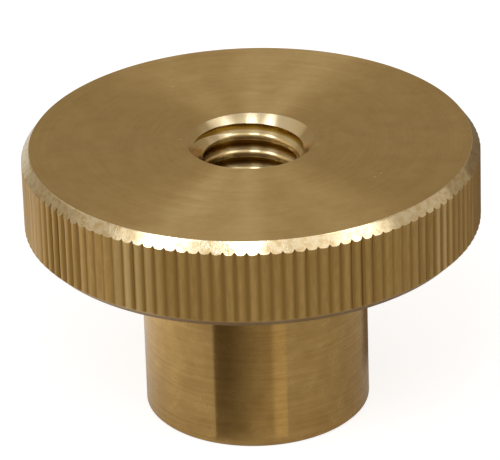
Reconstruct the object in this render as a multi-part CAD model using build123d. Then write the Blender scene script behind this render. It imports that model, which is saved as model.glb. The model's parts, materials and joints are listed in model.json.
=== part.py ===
from build123d import *

from math import pi, radians, tan
import os

# High knurled nut, M6. A straight-knurled head and a plain collar are turned from one bar,
# then the hole is tapped right through and countersunk at both ends.
# Millimetres, +Z up along the thread. The origin is the centre of the collar's end face,
# which bears on the work, so the nut stands on its collar.

# Tapped hole. Its wall is left plain, at the thread's crests.
thread_diameter = 6.0
thread_pitch = 1.0
countersink_clearance = 0.35
countersink_angle = 90.0

# Head
head_diameter = 24.0
head_height = 4.8
top_chamfer_width = 0.43
top_chamfer_height = 0.6
lower_chamfer = 0.5

# Straight knurl in the rim. The pitch is laid off round the bottoms of its grooves.
knurl_pitch = 0.6
knurl_depth = 0.12
knurl_angle = 90.0

# Collar, from the head down to the bearing face
nut_height = 15.0
collar_diameter = 11.9
collar_edge_break = 0.12
collar_root_radius = 0.3

# Worked out from the sizes above
head_radius = head_diameter / 2
head_underside = nut_height - head_height
collar_radius = collar_diameter / 2
collar_root_height = head_underside - collar_root_radius
hole_radius = (thread_diameter - thread_pitch) / 2
countersink_radius = thread_diameter / 2 + countersink_clearance
countersink_depth = (countersink_radius - hole_radius) / tan(radians(countersink_angle / 2))
knurl_bottom_radius = head_radius - knurl_depth
knurl_count = round(2 * pi * knurl_bottom_radius / knurl_pitch)


def half_section():
    """Outline of one side of the nut: up the outside from the bearing face, then down the hole."""
    with BuildLine() as outline:
        Polyline(
            (countersink_radius, 0),
            (collar_radius - collar_edge_break, 0),
            (collar_radius, collar_edge_break),
            (collar_radius, collar_root_height),
        )
        TangentArc(
            (collar_radius, collar_root_height),
            (collar_radius + collar_root_radius, head_underside),
            tangent=(0, 1),
        )
        Polyline(
            (collar_radius + collar_root_radius, head_underside),
            (head_radius - lower_chamfer, head_underside),
            (head_radius, head_underside + lower_chamfer),
            (head_radius, nut_height - top_chamfer_height),
            (head_radius - top_chamfer_width, nut_height),
            (countersink_radius, nut_height),
            (hole_radius, nut_height - countersink_depth),
            (hole_radius, countersink_depth),
            (countersink_radius, 0),
        )
    return make_face(outline.line)


def turned_blank():
    """The nut as it leaves the lathe, with a smooth rim."""
    return revolve(Plane.XZ * half_section(), Axis.Z)


def knurl_groove():
    """What one V groove takes out of the rim at +X, over the whole height of the head."""
    past_rim = knurl_depth
    height_of_v = knurl_depth + past_rim
    half_width = height_of_v * tan(radians(knurl_angle / 2))
    v_section = make_face(
        Polyline(
            (knurl_bottom_radius, 0),
            (head_radius + past_rim, -half_width),
            (head_radius + past_rim, half_width),
            close=True,
        )
    )
    return Pos(0, 0, head_underside) * extrude(v_section, head_height)


def knurled_nut():
    """The blank with its knurl, which starts half a pitch off +X so that a crest lies there."""
    half_pitch_angle = 180 / knurl_count
    around_rim = PolarLocations(0, knurl_count, start_angle=half_pitch_angle)
    return turned_blank() - around_rim * knurl_groove()


nut = knurled_nut()
nut.label = "knurled_nut"

os.makedirs("parts", exist_ok=True)
export_step(nut, "parts/knurled_nut.step")
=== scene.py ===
import json
from math import atan2, cos, exp, hypot, pi, radians, remainder, sin, tan, tau
import random

import bmesh
import bpy
from mathutils import Matrix, Vector, noise

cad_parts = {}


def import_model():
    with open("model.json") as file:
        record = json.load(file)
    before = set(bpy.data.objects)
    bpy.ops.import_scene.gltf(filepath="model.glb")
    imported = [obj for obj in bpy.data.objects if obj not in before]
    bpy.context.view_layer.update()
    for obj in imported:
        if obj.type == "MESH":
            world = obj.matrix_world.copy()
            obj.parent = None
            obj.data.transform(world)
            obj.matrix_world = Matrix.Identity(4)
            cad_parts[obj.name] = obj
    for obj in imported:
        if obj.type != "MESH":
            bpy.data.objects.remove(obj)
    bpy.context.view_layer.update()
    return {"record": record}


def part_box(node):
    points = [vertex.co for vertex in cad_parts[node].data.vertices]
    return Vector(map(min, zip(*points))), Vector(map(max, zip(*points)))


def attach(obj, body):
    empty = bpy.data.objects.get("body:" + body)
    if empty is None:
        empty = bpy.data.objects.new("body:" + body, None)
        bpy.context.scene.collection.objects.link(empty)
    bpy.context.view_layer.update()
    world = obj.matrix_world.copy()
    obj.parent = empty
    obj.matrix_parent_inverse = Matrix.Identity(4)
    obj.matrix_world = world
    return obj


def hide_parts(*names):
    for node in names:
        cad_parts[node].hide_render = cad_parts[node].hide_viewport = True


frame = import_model()

# A high knurled nut in brass, made as one closed mesh with five finishes. Everything is modelled in
# millimetres, in the frame of the part, and scaled to metres at the end.
MM = 0.001
NUT = "knurled_nut"
BODY = "root"

# ---------------------------------------------------------------- sizes

high_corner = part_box(NUT)[1]
thread_mount = next(mount for mount in frame["record"]["mounts"] if mount["name"] == "thread")

nut_height = high_corner.z / MM
head_radius = high_corner.x / MM
hole_radius = thread_mount["dims"]["r_mm"]
countersink_depth = (nut_height - thread_mount["dims"]["length_mm"]) / 2
countersink_radius = hole_radius + countersink_depth

head_height = 4.8
head_underside = nut_height - head_height
top_chamfer_width = 0.43
top_chamfer_height = 0.6
lower_chamfer = 0.5
collar_radius = 5.95
collar_edge_break = 0.12
collar_root_radius = 0.3
turned_edge_radius = 0.035

thread_pitch = 1.0
thread_radius = 3.0
thread_root_flat = thread_pitch / 8
thread_half_angle = radians(30)
thread_crest_radius = 0.24
thread_root_radius = 0.05
thread_start = -0.26

knurl_pitch = 0.6
knurl_depth = 0.12
knurl_half_angle = radians(45)
knurl_count = round(tau * (head_radius - knurl_depth) / knurl_pitch)

# The rim's plain wall, between its two chamfers
wall_low = head_underside + lower_chamfer
wall_high = nut_height - top_chamfer_height

# Finishes, in the order of the nut's material slots
FACED, BRIGHT_CUT, KNURLED, TURNED, TAPPED = range(5)


# ---------------------------------------------------------------- outlines

# Points nearer than this are one point, and heights nearer than this are one height.
SAME_PLACE = 1e-3


def rounded(corners, radius, steps=3):
    """An outline of (radius, height) points, with each inner corner turned into a small arc."""
    outline = [Vector(corners[0])]
    for before, corner, after in zip(corners, corners[1:], corners[2:]):
        corner = Vector(corner)
        back = (Vector(before) - corner).normalized()
        ahead = (Vector(after) - corner).normalized()
        half = back.angle(ahead) / 2
        centre = corner + (back + ahead).normalized() * radius / sin(half)
        reach = radius / tan(half)
        first = (corner + back * reach - centre).normalized()
        last = (corner + ahead * reach - centre).normalized()
        outline += [centre + first.slerp(last, step / steps) * radius for step in range(steps + 1)]
    outline.append(Vector(corners[-1]))
    return outline


def spun(outline, steps, repeats=1, angle=tau, rise=0.0):
    """Spins an outline about the nut's axis, then repeats what that makes, each time further round."""
    bm = bmesh.new()
    verts = [bm.verts.new((point[0], 0, point[1])) for point in outline]
    edges = [bm.edges.new(pair) for pair in zip(verts, verts[1:])]
    bmesh.ops.spin(
        bm, geom=verts + edges, axis=(0, 0, 1), cent=(0, 0, 0),
        dvec=(0, 0, rise / steps), angle=angle, steps=steps, use_merge=repeats == 1,
    )
    if repeats > 1:
        bmesh.ops.spin(
            bm, geom=bm.verts[:] + bm.edges[:] + bm.faces[:], axis=(0, 0, 1), cent=(0, 0, 0),
            dvec=(0, 0, rise), angle=angle * (repeats - 1), steps=repeats - 1, use_duplicate=True,
        )
    bmesh.ops.remove_doubles(bm, verts=bm.verts[:], dist=SAME_PLACE)
    return bm


# ---------------------------------------------------------------- knurled rim

RIM_RINGS = 8
CHAMFER_RINGS = 6
# How far the rim's band reaches past its chamfers into the head's two faces
RIM_REACH = 0.25
# Columns of points across one tooth, in pitches from the middle of its land
TOOTH_COLUMNS = (-0.5, -0.45, -0.38, -0.31, -0.24, -0.13, 0.0, 0.13, 0.24, 0.31, 0.38, 0.45)
HALF_LAND = 0.3
# Share of the knurl's depth that a land loses by its edges, on the wall and where it meets the chamfer
CROWN_ON_WALL = 0.45
CROWN_AT_CHAMFER = 0.2

# How far one tooth may differ from the next: the share of its groove's depth, how low its land lies
# in millimetres, how far the land slants in depths of the knurl, and how far it is shifted in pitches
GROOVE_SHARES = (0.85, 1.1)
LAND_DROP = 0.012
LAND_SLANT = 0.12
LAND_SHIFT = 0.02
# Height in millimetres of the small waves of wear, and how fine they are round the rim and up it
WEAR = 0.004
WEAR_AROUND = 60
WEAR_UPWARD = 2.5

# The share of the full depth that the knurling wheels pressed to all round, and the azimuth and width
# in degrees of each place where they pressed deeper or less deep, with the share that this changes
USUAL_PRESSURE = 0.92
KNURL_PRESSURE = [
    (-172, 14, -0.5),
    (-157, 6, -0.5),
    (-147, 6, 0.6),
    (-128, 6, -0.5),
    (-119, 6, 0.05),
    (-85, 20, -0.1),
    (-62, 3, 0.3),
    (-50, 7, -0.4),
    (-12, 14, -0.4),
    (60, 30, 0.1),
]


def groove_share(across, crown):
    """Depth of the knurl, from 0 at the middle of a land to 1 in the groove, across one pitch."""
    half_groove = knurl_depth * tan(knurl_half_angle) / knurl_pitch
    half_land = 0.5 - half_groove
    over_land = min(abs(across) / half_land, 1) ** 2
    into_groove = max(abs(across) - half_land, 0) / half_groove
    return crown * over_land + (1 - crown) * into_groove


def pressed_depth(angle):
    """How deep the knurling wheels pressed at an angle round the rim."""
    uneven = sum(
        change * exp(-((remainder(angle - radians(place), tau) / radians(width)) ** 2))
        for place, width, change in KNURL_PRESSURE
    )
    return knurl_depth * (USUAL_PRESSURE + uneven)


def rim_outline():
    """The head's outer wall from its underside up to its top face."""
    lower_edge = rounded(
        [
            (head_radius - lower_chamfer - RIM_REACH, head_underside),
            (head_radius - lower_chamfer, head_underside),
            (head_radius, wall_low),
        ],
        turned_edge_radius,
    )
    upper_edge = rounded(
        [
            (head_radius, wall_high),
            (head_radius - top_chamfer_width, nut_height),
            (head_radius - top_chamfer_width - RIM_REACH, nut_height),
        ],
        turned_edge_radius,
    )
    wall = [
        Vector((head_radius, wall_low + (wall_high - wall_low) * ring / RIM_RINGS))
        for ring in range(1, RIM_RINGS)
    ]
    chamfer_foot, chamfer_top = upper_edge[:2]
    chamfer = [chamfer_foot.lerp(chamfer_top, ring / CHAMFER_RINGS) for ring in range(1, CHAMFER_RINGS)]
    return lower_edge + wall + [chamfer_foot] + chamfer + upper_edge[1:]


def rim_finish(face):
    """Which finish a face of the rim has, by where it lies before it is knurled."""
    centre = face.calc_center_median()
    beside_edge = 0.02
    if head_underside + beside_edge < centre.z < wall_high:
        return KNURLED
    on_top_face = hypot(centre.x, centre.y) <= head_radius - top_chamfer_width - beside_edge
    if centre.z > wall_high and not on_top_face:
        return BRIGHT_CUT
    return FACED


def groove_run_out(radius, height):
    """Where a groove runs out in a chamfer: the share of its depth left there, and its foot's rise."""
    if height > wall_high:
        share = max(1 - (head_radius - radius) / top_chamfer_width, 0)
        return share, share * top_chamfer_height / top_chamfer_width
    if height < wall_low:
        share = max(1 - (head_radius - radius) / lower_chamfer, 0)
        return share, -share
    along = (height - wall_low) / (wall_high - wall_low)
    return 1, along * (1 + top_chamfer_height / top_chamfer_width) - 1


def knurl(bm):
    """Presses the straight knurl into the spun rim, so that it runs out in the two chamfers."""
    columns = len(TOOTH_COLUMNS)
    column_angle = tau / (knurl_count * columns)
    dice = random.Random(7)
    depths = [
        pressed_depth(tau * groove / knurl_count) * dice.uniform(*GROOVE_SHARES)
        for groove in range(knurl_count)
    ]
    drops = [dice.uniform(0.0, LAND_DROP) for _ in range(knurl_count)]
    slants = [dice.uniform(-LAND_SLANT, LAND_SLANT) for _ in range(knurl_count)]
    shifts = [dice.uniform(-LAND_SHIFT, LAND_SHIFT) for _ in range(knurl_count)]
    for vert in bm.verts:
        radius = hypot(vert.co.x, vert.co.y)
        height = vert.co.z
        column = round(atan2(vert.co.y, vert.co.x) / column_angle)
        tooth, place = divmod(column, columns)
        across = TOOTH_COLUMNS[place]
        groove = tooth + (across > 0)
        turn = (tooth + across) * columns * column_angle
        crown = CROWN_ON_WALL if height < wall_high - SAME_PLACE else CROWN_AT_CHAMFER
        deep = groove_share(across, crown) * depths[groove % knurl_count]
        worn = WEAR * noise.noise((cos(turn) * WEAR_AROUND, sin(turn) * WEAR_AROUND, height * WEAR_UPWARD))
        if abs(across) < HALF_LAND:
            deep += drops[tooth % knurl_count] + slants[tooth % knurl_count] * across * knurl_depth
            turn += shifts[tooth % knurl_count] * columns * column_angle
        deep = max(deep + worn, 0.0)
        share, rise = groove_run_out(radius, height)
        radius -= share * deep
        vert.co = (radius * cos(turn), radius * sin(turn), height + rise * deep)


def rim():
    """The knurled outer wall of the head, an open band."""
    bm = spun(rim_outline(), len(TOOTH_COLUMNS), knurl_count, tau / knurl_count)
    for face in bm.faces:
        face.material_index = rim_finish(face)
    knurl(bm)
    return bm


# ---------------------------------------------------------------- turned body

BODY_COLUMNS = 288
# How far short of the rim's chamfers the body's band ends, in the head's two faces
BODY_SHORT = 0.8
# Where the collar's outline is parted, well clear of its ends
collar_middle = nut_height / 3


def body_outline():
    """From the head's underside down the collar, up through the hole and out over the top face."""
    under_head = rounded(
        [
            (head_radius - lower_chamfer - BODY_SHORT, head_underside),
            (collar_radius, head_underside),
            (collar_radius, collar_middle),
        ],
        collar_root_radius,
        steps=6,
    )
    foot_to_top = rounded(
        [
            (collar_radius, collar_middle),
            (collar_radius, collar_edge_break),
            (collar_radius - collar_edge_break, 0),
            (countersink_radius, 0),
            (hole_radius, countersink_depth),
            (hole_radius, nut_height - countersink_depth),
            (countersink_radius, nut_height),
            (head_radius - top_chamfer_width - BODY_SHORT, nut_height),
        ],
        turned_edge_radius,
    )
    return under_head + foot_to_top[1:]


def body_finish(face):
    """Which finish a face of the turned body has."""
    centre = face.calc_center_median()
    radius = hypot(centre.x, centre.y)
    off_face = 0.01
    if radius < hole_radius + off_face / 2:
        return TAPPED
    if radius < countersink_radius + turned_edge_radius:
        return BRIGHT_CUT
    if radius < collar_radius + collar_root_radius and off_face < centre.z < head_underside - off_face:
        return TURNED
    return FACED


def body():
    """Everything inside the rim, an open band whose ends lie in the head's two faces."""
    bm = spun(body_outline(), BODY_COLUMNS)
    for face in bm.faces:
        face.material_index = body_finish(face)
    return bm


# ---------------------------------------------------------------- tapped hole

TAP_COLUMNS = 96
TURNS_PAST_ENDS = 3
# The tap's rod is this much wider than the hole, so that it takes off the whole plain wall.
TAP_OVERSIZE = 0.002
# Edges shorter than this, left where the thread meets the countersinks, are closed up.
SLIVER = 1e-4


def tap():
    """The solid that a tap sweeps: a rod with the thread's V standing out of it."""
    flank = (thread_radius - hole_radius) * tan(thread_half_angle)
    crest = thread_pitch - thread_root_flat - 2 * flank
    ridge = [
        (hole_radius, 0),
        (hole_radius, crest / 2),
        (thread_radius, crest / 2 + flank),
        (thread_radius, crest / 2 + flank + thread_root_flat),
        (hole_radius, crest / 2 + 2 * flank + thread_root_flat),
        (hole_radius, thread_pitch),
    ]
    outline = rounded(ridge[:3], thread_crest_radius) + rounded(ridge[3:], thread_root_radius)
    turns = round(nut_height / thread_pitch) + TURNS_PAST_ENDS
    oversize = Vector((TAP_OVERSIZE, 0))
    bm = spun([point + oversize for point in outline], TAP_COLUMNS, turns, tau, thread_pitch)
    bmesh.ops.holes_fill(bm, edges=[edge for edge in bm.edges if edge.is_boundary])
    bmesh.ops.translate(bm, verts=bm.verts, vec=(0, 0, thread_start - thread_pitch))
    between_columns = Matrix.Rotation(pi / BODY_COLUMNS, 3, "Z")
    bmesh.ops.rotate(bm, verts=bm.verts, cent=(0, 0, 0), matrix=between_columns)
    bmesh.ops.recalc_face_normals(bm, faces=bm.faces[:])
    if bm.calc_volume(signed=True) < 0:
        bmesh.ops.reverse_faces(bm, faces=bm.faces[:])
    for face in bm.faces:
        face.material_index = TAPPED
    return bm


def tapped(blank, tool):
    """The blank with the tap's thread cut out of it, as one mesh object."""
    cut = blank.modifiers.new("tap", "BOOLEAN")
    cut.operation = "DIFFERENCE"
    cut.solver = "MANIFOLD"
    cut.object = tool
    bpy.context.view_layer.update()
    evaluated = blank.evaluated_get(bpy.context.evaluated_depsgraph_get())
    mesh = bpy.data.meshes.new_from_object(evaluated)
    cleaned = bmesh.new()
    cleaned.from_mesh(mesh)
    bmesh.ops.dissolve_degenerate(cleaned, edges=cleaned.edges[:], dist=SLIVER)
    cleaned.to_mesh(mesh)
    cleaned.free()
    blank.modifiers.clear()
    blank.data = mesh
    bpy.data.objects.remove(tool)
    return blank


# ---------------------------------------------------------------- meshes

CRISP_ANGLE = radians(28)


def joined_bands(bands):
    """One closed mesh from open bands whose ends lie in the head's two faces."""
    whole = bmesh.new()
    for band in bands:
        piece = bpy.data.meshes.new("band")
        band.to_mesh(piece)
        whole.from_mesh(piece)
        bpy.data.meshes.remove(piece)
        band.free()
    for height in (head_underside, nut_height):
        open_edges = [
            edge for edge in whole.edges
            if edge.is_boundary and all(abs(vert.co.z - height) < SAME_PLACE for vert in edge.verts)
        ]
        bmesh.ops.triangle_fill(whole, edges=open_edges, use_beauty=True, normal=(0, 0, 1))
    bmesh.ops.recalc_face_normals(whole, faces=whole.faces[:])
    return whole


def as_object(bm, name, finishes=()):
    """An object at the origin made from the mesh, with its finishes in order."""
    mesh = bpy.data.meshes.new(name)
    bm.to_mesh(mesh)
    bm.free()
    for finish in finishes:
        mesh.materials.append(finish)
    made = bpy.data.objects.new(name, mesh)
    bpy.context.scene.collection.objects.link(made)
    return made


def with_crisp_edges(mesh):
    """Shades the mesh smooth, apart from its corners and the lines where one finish meets another."""
    mesh.shade_smooth()
    mesh.set_sharp_from_angle(angle=CRISP_ANGLE)
    bm = bmesh.new()
    bm.from_mesh(mesh)
    for edge in bm.edges:
        if len({face.material_index for face in edge.link_faces}) > 1:
            edge.smooth = False
    bm.to_mesh(mesh)
    bm.free()


# ---------------------------------------------------------------- nodes

# A quarter turn, in the shader's own measure, from the way that the marks of the lathe run
ACROSS_THE_LATHE_MARKS = 0.25


class Wire:
    """A node's output. Arithmetic on wires and numbers adds Math nodes to the same tree."""

    def __init__(self, nodes, socket):
        self.nodes = nodes
        self.socket = socket

    def also(self, output):
        """Another output of the same node."""
        return Wire(self.nodes, self.socket.node.outputs[output])

    def maths(self, operation, first, second):
        return self.nodes.node("ShaderNodeMath", {"operation": operation}, {0: first, 1: second})

    def at_least(self, other):
        """The greater of the two."""
        return self.maths("MAXIMUM", self, other)

    def __add__(self, other):
        return self.maths("ADD", self, other)

    __radd__ = __add__

    def __sub__(self, other):
        return self.maths("SUBTRACT", self, other)

    def __rsub__(self, other):
        return self.maths("SUBTRACT", other, self)

    def __mul__(self, other):
        return self.maths("MULTIPLY", self, other)

    __rmul__ = __mul__

    def __truediv__(self, other):
        return self.maths("DIVIDE", self, other)

    def __pow__(self, other):
        return self.maths("POWER", self, other)


class Nodes:
    """A node tree that is being filled."""

    def __init__(self, tree):
        self.tree = tree

    def feed(self, socket, value):
        """Links a wire to the socket, or sets the socket to a plain value."""
        if isinstance(value, Wire):
            self.tree.links.new(value.socket, socket)
        else:
            socket.default_value = value

    def node(self, kind, settings=None, sockets=None, output=0):
        """Adds a node, with its settings first, and returns the wire of one of its outputs."""
        made = self.tree.nodes.new(kind)
        for setting, value in (settings or {}).items():
            setattr(made, setting, value)
        for socket, value in (sockets or {}).items():
            self.feed(made.inputs[socket], value)
        return Wire(self, made.outputs[output])


class Finish(Nodes):
    """A material being made. It knows its Principled shader and the place on the nut, in millimetres."""

    def __init__(self, name):
        self.material = bpy.data.materials.new(name)
        self.material.use_nodes = True
        super().__init__(self.material.node_tree)
        self.shader = self.tree.nodes["Principled BSDF"]
        in_metres = self.node("ShaderNodeTexCoord", output="Object")
        self.place = self.node(
            "ShaderNodeVectorMath", {"operation": "SCALE"}, {0: in_metres, "Scale": 1 / MM}
        )
        self.x = self.node("ShaderNodeSeparateXYZ", {}, {0: self.place})
        self.y = self.x.also("Y")
        self.z = self.x.also("Z")
        self.radius = (self.x * self.x + self.y * self.y) ** 0.5

    def vector(self, x, y, z):
        """A place put together from three numbers or wires."""
        return self.node("ShaderNodeCombineXYZ", {}, {0: x, 1: y, 2: z})

    def noise(self, vector, scale=1.0, detail=2.0, roughness=0.5):
        """Cloudy noise between 0 and 1."""
        return self.node(
            "ShaderNodeTexNoise", {},
            {"Vector": vector, "Scale": scale, "Detail": detail, "Roughness": roughness},
        )

    def ramp(self, value, low, high, start=0.0, end=1.0):
        """The value's way from low to high, eased and held within them, as start to end."""
        return self.node(
            "ShaderNodeMapRange", {"interpolation_type": "SMOOTHSTEP"},
            {0: value, 1: low, 2: high, 3: start, 4: end},
        )

    def blend(self, share, first, second):
        """One colour that turns into another."""
        return self.node(
            "ShaderNodeMix", {"data_type": "RGBA"}, {0: share, 6: first, 7: second}, output=2
        )

    def relief(self, height, distance):
        """A bump of that height, 0 to 1, times that distance in millimetres, into the shader."""
        normal = self.node(
            "ShaderNodeBump", {}, {"Height": height, "Distance": distance * MM, "Strength": 1.0}
        )
        self.feed(self.shader.inputs["Normal"], normal)

    def lathe_marks(self, across, fineness):
        """Noise drawn out into rings round the axis, fine along the direction given."""
        around = 1.5
        rings = self.vector(
            across * fineness, self.x / self.radius * around, self.y / self.radius * around
        )
        return self.noise(rings, detail=4.0, roughness=0.65)

    def spot(self, place, size):
        """1 at the centre of a small ball at a place on the nut, fading to 0 at its edge."""
        distance = self.node(
            "ShaderNodeVectorMath", {"operation": "DISTANCE"}, {0: self.place, 1: place}, output="Value"
        )
        return self.ramp(distance, 0.0, size, 1.0, 0.0)

    def spots(self, places, size):
        """A spot of one size at each of the places."""
        total = self.spot(places[0], size)
        for place in places[1:]:
            total = total + self.spot(place, size)
        return total

    def polish(self, colour, roughness, anisotropy):
        """Bare metal, whose shine is drawn out across the lathe marks by its anisotropy."""
        self.feed(self.shader.inputs["Base Color"], colour)
        self.feed(self.shader.inputs["Roughness"], roughness)
        self.feed(self.shader.inputs["Metallic"], 1.0)
        self.feed(self.shader.inputs["Anisotropic"], anisotropy)
        self.feed(self.shader.inputs["Anisotropic Rotation"], ACROSS_THE_LATHE_MARKS)
        return self.material

    def glow(self, paper, light):
        """A matt paper of one shade, with light of its own on top."""
        self.feed(self.shader.inputs["Base Color"], paper)
        self.feed(self.shader.inputs["Emission Color"], light)
        self.feed(self.shader.inputs["Emission Strength"], 1.0)
        return self.material


# ---------------------------------------------------------------- finishes of the brass

FACED_DULL = (0.71, 0.49, 0.205, 1)
FACED_BRIGHT = (0.87, 0.65, 0.305, 1)
CUT_DULL = (0.76, 0.57, 0.29, 1)
CUT_BRIGHT = (0.93, 0.79, 0.53, 1)
# Painted shade for the knurl: the roots of its grooves and its lower chamfer, then its grooves
KNURL_DEEP_SHADE = (0.2, 0.1, 0.02, 1)
KNURL_GROOVE_SHADE = (0.43, 0.255, 0.072, 1)
KNURL_DULL = (0.53, 0.32, 0.096, 1)
KNURL_BRIGHT = (0.70, 0.455, 0.155, 1)
# Painted highlight for the knurl's lands
KNURL_PAINTED_HIGHLIGHT = (0.95, 0.68, 0.30, 1)
TURNED_DULL = (0.54, 0.325, 0.105, 1)
TURNED_BRIGHT = (0.76, 0.5, 0.18, 1)
THREAD_CREST = (0.76, 0.6, 0.32, 1)
THREAD_ROOT_SHADE = (0.4, 0.23, 0.03, 1)
BRIGHT_SPECK = (1.0, 0.85, 0.5, 1)

FACE_SPECKS = [(6.34, -4.7, 15), (6.66, -4.3, 15), (-4.1, 6.9, 15), (-3.64, 0.35, 15), (3.48, -0.7, 15)]
SPECK_SIZE = 0.12
CHAMFER_DINGS = [(-2.1, -11.6, 14.7), (-1.1, -11.7, 14.7), (1.9, -11.6, 14.7), (-7.1, -9.4, 14.7)]
DING_SIZE = 0.9


def faced_brass():
    """The faces left by the facing tool: fine rings, a soft cloudiness and a few bright specks."""
    finish = Finish("faced brass")
    rings = finish.lathe_marks(finish.radius, fineness=5.0)
    clouds = finish.noise(finish.place, scale=0.9, detail=5.0, roughness=0.6)
    shade = finish.ramp(rings * 0.4 + clouds * 0.6, 0.2, 0.8)
    colour = finish.blend(shade, FACED_DULL, FACED_BRIGHT)
    colour = finish.blend(finish.spots(FACE_SPECKS, SPECK_SIZE), colour, BRIGHT_SPECK)
    finish.relief(rings, distance=0.002)
    return finish.polish(colour, roughness=0.32 + rings * 0.08, anisotropy=0.92)


def bright_cut_brass():
    """The countersinks and the chamfer: nearly mirror bright, the chamfer mottled and knocked in places,
    the countersinks with a painted sheen.
    """
    finish = Finish("bright-cut brass")
    mottle = finish.ramp(finish.noise(finish.place, scale=3.0, detail=4.0, roughness=0.6), 0.3, 0.6)
    knocks = finish.noise(finish.place, scale=7.0)
    knocked = finish.spots(CHAMFER_DINGS, DING_SIZE)
    chamfer = finish.ramp(finish.radius, 4.0, 6.0)
    countersink = 1.0 - chamfer
    # Painted sheen: the countersinks are painted lighter at their front and back and dull at their sides.
    painted_sheen_front_and_back = finish.ramp(finish.x * finish.x, 3.0, 9.0, 0.7, 0.0)
    shade = mottle * chamfer + countersink * painted_sheen_front_and_back
    colour = finish.blend(shade, CUT_DULL, CUT_BRIGHT)
    finish.relief(knocks * (knocked * 0.5 + chamfer * 0.03), distance=0.03)
    return finish.polish(colour, roughness=0.17 + knocked * 0.1 + countersink * 0.05, anisotropy=0.8)


def knurled_brass():
    """The knurl, each tooth a little different: painted shade in its grooves and lower chamfer, and painted
    highlights on its lands in two bands.
    """
    finish = Finish("knurled brass")
    x, y, z = finish.x, finish.y, finish.z
    teeth = finish.noise(finish.vector(x * 1.6, y * 1.6, z * 0.08), detail=3.0, roughness=0.7)
    scuffs = finish.noise(finish.vector(x * 5, y * 5, z * 1.2), detail=4.0, roughness=0.6)
    shade = finish.ramp(teeth * 0.6 + scuffs * 0.4, 0.35, 0.65)
    land = finish.blend(shade, KNURL_DULL, KNURL_BRIGHT)
    # Painted highlights: the lands in two upright bands, picked out by x alone, are painted brighter.
    painted_highlight_left = finish.ramp(x, -7.3, -6.4) * finish.ramp(x, -6.2, -4.2, 1.0, 0.0)
    painted_highlight_right = finish.ramp(x, 9.0, 9.6) * finish.ramp(x, 9.9, 10.4, 1.0, 0.0)
    land = finish.blend((painted_highlight_left + painted_highlight_right) * 0.65, land, KNURL_PAINTED_HIGHLIGHT)
    below_wall = (wall_low - z).at_least(0.0)
    # The lower chamfer's radius is brought out to the wall's, so that its teeth are coloured alike.
    radius = finish.radius + below_wall * 0.85
    # Painted shade: the grooves are painted darker, darkest at their roots.
    out_of_root = finish.ramp(radius, head_radius - 0.16, head_radius - 0.11)
    groove = finish.blend(out_of_root, KNURL_DEEP_SHADE, KNURL_GROOVE_SHADE)
    onto_land = finish.ramp(radius, head_radius - 0.08, head_radius)
    colour = finish.blend(onto_land, groove, land)
    # Painted shade: the lower chamfer is painted half way to the dark of the groove roots.
    colour = finish.blend(finish.ramp(below_wall, 0.0, 0.2, 0.0, 0.5), colour, KNURL_DEEP_SHADE)
    finish.relief(scuffs, distance=0.01)
    return finish.polish(colour, roughness=0.32 + scuffs * 0.16, anisotropy=0.0)


def turned_brass():
    """The collar: fine rings left by the turning tool, some rubbed patches."""
    finish = Finish("turned brass")
    rings = finish.lathe_marks(finish.z, fineness=6.0)
    clouds = finish.noise(finish.place, scale=1.1, detail=5.0, roughness=0.6)
    shade = finish.ramp(rings * 0.5 + clouds * 0.5, 0.25, 0.75)
    colour = finish.blend(shade, TURNED_DULL, TURNED_BRIGHT)
    finish.relief(rings, distance=0.001)
    return finish.polish(colour, roughness=0.2 + clouds * 0.12, anisotropy=0.85)


def tapped_brass():
    """The thread: bright crests, with painted shade on its flanks and roots."""
    finish = Finish("tapped brass")
    # Painted shade: the thread is painted darker from its crests out into its flanks and roots.
    depth = finish.ramp(finish.radius, hole_radius + 0.2, hole_radius + 0.36)
    marks = finish.lathe_marks(finish.z, fineness=9.0)
    colour = finish.blend(depth, THREAD_CREST, THREAD_ROOT_SHADE)
    return finish.polish(colour, roughness=0.2 + marks * 0.08, anisotropy=0.88)


# ---------------------------------------------------------------- the nut

finishes = [faced_brass(), bright_cut_brass(), knurled_brass(), turned_brass(), tapped_brass()]
nut = as_object(joined_bands([rim(), body()]), "nut", finishes)
nut = tapped(nut, as_object(tap(), "tap", finishes))
nut.data.transform(Matrix.Scale(MM, 4))
with_crisp_edges(nut.data)

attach(nut, BODY)
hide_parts(NUT)


# ---------------------------------------------------------------- stage

FLOOR_SHADE = (0.43, 0.43, 0.43, 1)
FLOOR_GLOW = 0.78
FLOOR_RADIUS = 1.0
ROOM = (0.32, 0.27, 0.2, 1)
BACKDROP = (0.92, 0.9, 0.87, 1)
COOL = (0.9, 0.98, 1.14)
WHITE = (1, 1, 1)
BLACK = (0.0, 0.0, 0.0, 1)

# Cards that only the metal sees, which paint reflections into it
CARD_RADIUS = 8.0
CARD_HEIGHT = 9.0
REFLECTION_DARK = (0.02, 0.01, 0.002, 1)
REFLECTION_LIGHT = (1.0, 0.92, 0.78, 1)
REFLECTION_CARD_FOOT = (0.7, 0.83, 1)
DARK_REFLECTION = (0.16, 0.12, 0.08, 1)


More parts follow.
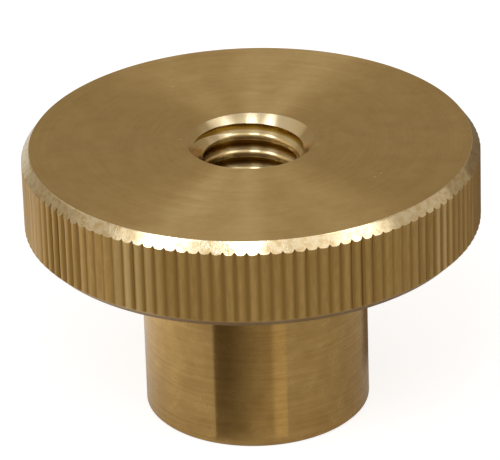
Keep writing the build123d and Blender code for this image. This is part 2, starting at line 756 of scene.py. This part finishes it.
def pale_floor():
    """A pale floor. The camera sees it white, and the metal sees a painted glow on it that turns white
    behind the nut.
    """
    bm = bmesh.new()
    bmesh.ops.create_circle(bm, cap_ends=True, radius=FLOOR_RADIUS, segments=64)
    paper = Finish("paper")
    to_camera = paper.node("ShaderNodeLightPath", output="Is Camera Ray")
    # Painted light for the metal's reflections: the glow is dim in front of the nut and bright behind and
    # to its left,
    # off under the hole, and half as strong far out.
    behind = paper.ramp(paper.y - paper.x * 0.5, -12.0, 25.0, 0.09, 0.85)
    clear_of_hole = paper.ramp(paper.radius, 2.5, 4.0)
    far_off = paper.ramp(paper.radius, 16.0, 30.0, 1.0, 0.5)
    painted_glow_for_metal = to_camera.also("Is Glossy Ray") * behind * clear_of_hole * far_off
    seen = to_camera.at_least(painted_glow_for_metal).at_least(to_camera.also("Is Transmission Ray"))
    paper.feed(paper.shader.inputs["Roughness"], 0.9)
    as_object(bm, "floor", [paper.glow(FLOOR_SHADE, seen * FLOOR_GLOW)])


def softbox(name, azimuth, elevation, distance, size, radiance, colour=WHITE):
    """A rectangular lamp that looks at the nut. Azimuth 0 is the camera's side, 90 its right."""
    data = bpy.data.lights.new(name, "AREA")
    data.shape = "RECTANGLE"
    data.size, data.size_y = size
    data.energy = radiance * pi * size[0] * size[1]
    data.color = colour
    lamp = bpy.data.objects.new(name, data)
    bpy.context.scene.collection.objects.link(lamp)
    around, up = radians(azimuth), radians(elevation)
    direction = Vector((sin(around) * cos(up), -cos(around) * cos(up), sin(up)))
    top_of_nut = Vector((0, 0, nut_height * MM))
    lamp.location = top_of_nut + direction * distance
    lamp.rotation_euler = direction.to_track_quat("Z", "Y").to_euler()
    lamp.visible_camera = False


def card(name, low_azimuth, high_azimuth, radius, height, shade, foot=(1, 1, 1)):
    """A bent card standing round the nut, which only the metal sees. It glows by its own shade, a painted
    reflection.

    Its foot is drawn in by the scale given.
    """
    bm = bmesh.new()
    low = Matrix.Rotation(radians(low_azimuth), 3, "Z") @ Vector((0, -radius * MM, 0))
    upright = [bm.verts.new(low), bm.verts.new(low + Vector((0, 0, height * MM)))]
    bmesh.ops.spin(
        bm, geom=upright + [bm.edges.new(upright)], axis=(0, 0, 1), cent=(0, 0, 0),
        angle=radians(high_azimuth - low_azimuth), steps=24,
    )
    bmesh.ops.scale(bm, verts=[vert for vert in bm.verts if vert.co.z < MM], vec=foot)
    board = Finish(name)
    made = as_object(bm, name, [board.glow(BLACK, shade(board))])
    made.visible_camera = False
    made.visible_diffuse = False
    made.visible_shadow = False


def painted_reflection_shade(board):
    """A painted reflection: dark at its left, lighter to the right and at its foot, with a bright strip at
    the right edge.
    """
    foot_width = REFLECTION_CARD_FOOT[0]
    across = board.x / (foot_width + board.z * ((1 - foot_width) / CARD_HEIGHT))
    light = board.ramp(across, -3.0, 1.6, 0.08, 0.3) + board.ramp(across, 1.2, 1.8, 0.0, 0.2)
    light = light + board.ramp(board.z, 0.0, 5.0, 0.05, 0.0)
    return board.blend(light, REFLECTION_DARK, REFLECTION_LIGHT)


def dark_reflection_shade(board):
    """One dark shade all over, a painted reflection."""
    return DARK_REFLECTION


def world(room, backdrop):
    """A dim warm room round the nut, behind which the camera sees a pale backdrop."""
    made = bpy.data.worlds.new("world")
    bpy.context.scene.world = made
    made.use_nodes = True
    nodes = Nodes(made.node_tree)
    unseen = made.node_tree.nodes["Background"]
    nodes.feed(unseen.inputs["Color"], room)
    seen = nodes.node("ShaderNodeBackground", {}, {"Color": backdrop})
    to_camera = nodes.node("ShaderNodeLightPath", output="Is Camera Ray")
    both = nodes.node(
        "ShaderNodeMixShader", {}, {0: to_camera, 1: Wire(nodes, unseen.outputs[0]), 2: seen}
    )
    nodes.feed(made.node_tree.nodes["World Output"].inputs["Surface"], both)


pale_floor()
# Painted reflection: a dark band and a bright strip in the front of the collar
card("window_card", -27.9, 19.2, CARD_RADIUS, CARD_HEIGHT, painted_reflection_shade, REFLECTION_CARD_FOOT)
# Painted reflections: dark on the right-hand limbs of the collar and of the rim
card("collar_flag", 97, 150, CARD_RADIUS, CARD_HEIGHT, dark_reflection_shade)
card("rim_flag", 105, 160, 24.0, 17.0, dark_reflection_shade)
softbox("key_left", -52, 47, 0.3, (0.045, 0.145), 3.6, COOL)
softbox("wide_left", -50, 46, 0.31, (0.118, 0.15), 1.55, COOL)
softbox("key_front", -5, 53, 0.3, (0.075, 0.12), 4.2, COOL)
softbox("key_right", 58, 47, 0.3, (0.09, 0.15), 1.3, COOL)
softbox("high_right", 86, 54, 0.3, (0.16, 0.08), 0.7)
softbox("right_fill", 84, 24, 0.3, (0.30, 0.13), 0.2)
softbox("left_fill", -101, 40, 0.3, (0.28, 0.18), 0.24)
softbox("front_fill", 0, 50, 0.36, (1.2, 0.25), 0.7)
softbox("overhead", 180, 82, 0.3, (0.36, 0.24), 0.15)
softbox("low_left", -96, 11, 0.2, (0.47, 0.11), 0.03)
world(ROOM, BACKDROP)


# ---------------------------------------------------------------- camera

CAMERA_PLACE = (-0.161, -209.81, 116.12)
LOOKING_DOWN = 26.882
HEAD_TILT = -1.813
WALKED_ROUND = 0.33
SENSOR_WIDTH = 36
FOCAL_LENGTH = 321.7


def camera():
    """A long lens, a little above the nut and looking down at it."""
    data = bpy.data.cameras.new("camera")
    data.sensor_width = SENSOR_WIDTH
    data.lens = FOCAL_LENGTH
    data.clip_start, data.clip_end = 0.01, 10
    made = bpy.data.objects.new("camera", data)
    bpy.context.scene.collection.objects.link(made)
    turn = Matrix.Rotation(radians(WALKED_ROUND), 4, "Z")
    place = Matrix.Translation(Vector(CAMERA_PLACE) * MM)
    pitch = Matrix.Rotation(radians(90 - LOOKING_DOWN), 4, "X")
    roll = Matrix.Rotation(radians(HEAD_TILT), 4, "Z")
    made.matrix_world = turn @ place @ pitch @ roll
    bpy.context.scene.camera = made


camera()
bpy.context.scene.view_settings.view_transform = "Standard"
